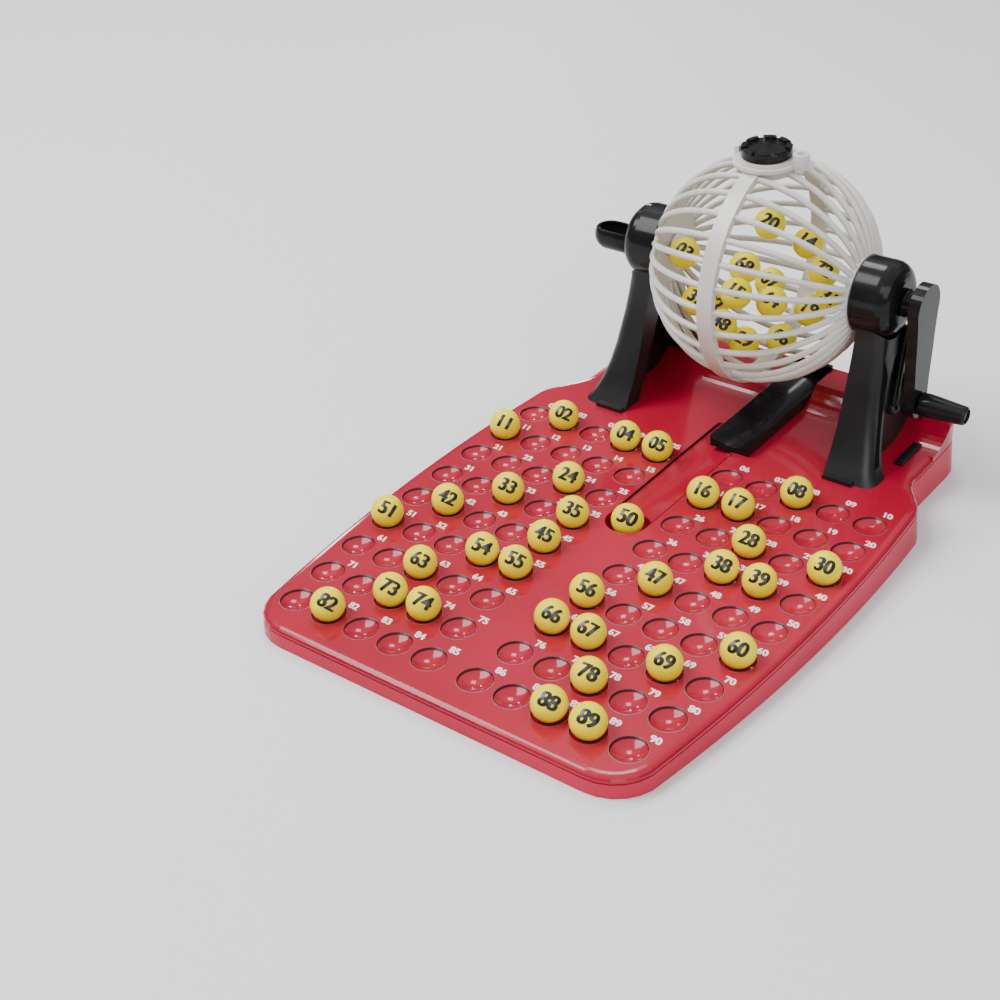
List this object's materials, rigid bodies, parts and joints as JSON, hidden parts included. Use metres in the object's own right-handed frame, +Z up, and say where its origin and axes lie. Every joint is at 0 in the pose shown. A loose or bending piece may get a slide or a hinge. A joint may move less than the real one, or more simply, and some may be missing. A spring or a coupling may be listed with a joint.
{
  "type": "bingo cage on a numbered ball tray",
  "caption": "Tabletop bingo set: ribbed ball cage with crank on two stands over a sloping numbered tray with recesses, chute and loose balls.",
  "frame": {"origin": "centre of the footprint on the table", "axes": "+Z up, +Y to the rear of the tray, where the cage stands, +X to the right, where the crank is"},
  "size_m": [0.2456, 0.3596, 0.1795],
  "materials": {
    "red_top": "glossy moulded red",
    "red_base": "glossy moulded red",
    "black": "glossy black",
    "ivory": "satin ivory",
    "bush": "matte natural",
    "yellow": "glossy yellow",
    "steel": "bright steel"
  },
  "bodies": {
    "tray": {"tray_top": "red_top", "tray_base": "red_base", "base_screws": "steel", "chute": "black", "left_stand": "black", "right_stand": "black", "left_housing": "black", "right_housing": "black", "left_bush": "bush", "right_bush": "bush", "left_bearing_plate": "black", "right_bearing_plate": "black", "stand_clips": "black", "stand_screws": "steel", "ball_cup": "black"},
    "cage": {"cage_left_band": "ivory", "cage_right_band": "ivory", "cage_left_hub": "ivory", "cage_right_hub": "ivory", "cage_left_ribs": "ivory", "cage_right_ribs": "ivory", "cage_dowels": "ivory", "outlet_collar": "ivory", "left_axle": "steel", "crank_shaft": "steel", "crank_hub": "black", "crank_arm": "black", "handle_pin": "black"},
    "cap": {"outlet_cap": "black"},
    "handle": {"handle_grip": "black"},
    "called_balls": {"tray_balls": "yellow"},
    "pocket_ball": {"drawn_ball": "yellow"},
    "balls_in_cage": {"caged_balls": "yellow"}
  },
  "joints": [
    {"name": "cage_spin", "type": "hinge", "parent": "tray", "child": "cage", "pos_m": [0, 0.11723, 0.10887], "axis": [1, 0, 0], "continuous": true},
    {"name": "handle_spin", "type": "hinge", "parent": "cage", "child": "handle", "pos_m": [0.107, 0.11915, 0.0539], "axis": [1, 0, 0], "continuous": true},
    {"name": "cap_twist", "type": "hinge", "parent": "cage", "child": "cap", "pos_m": [0, 0.11723, 0.10887], "axis": [0, -0.0785, 0.9969], "range_deg": [0, 60]},
    {"name": "called_balls_lift", "type": "slide", "parent": "tray", "child": "called_balls", "axis": [0, -0.0349, 0.9994], "range_m": [0, 0.04]},
    {"name": "pocket_ball_lift", "type": "slide", "parent": "tray", "child": "pocket_ball", "axis": [0, -0.0349, 0.9994], "range_m": [0, 0.04]},
    {"name": "balls_tumble", "type": "hinge", "parent": "tray", "child": "balls_in_cage", "pos_m": [0, 0.11723, 0.10887], "axis": [1, 0, 0], "continuous": true}
  ]
}
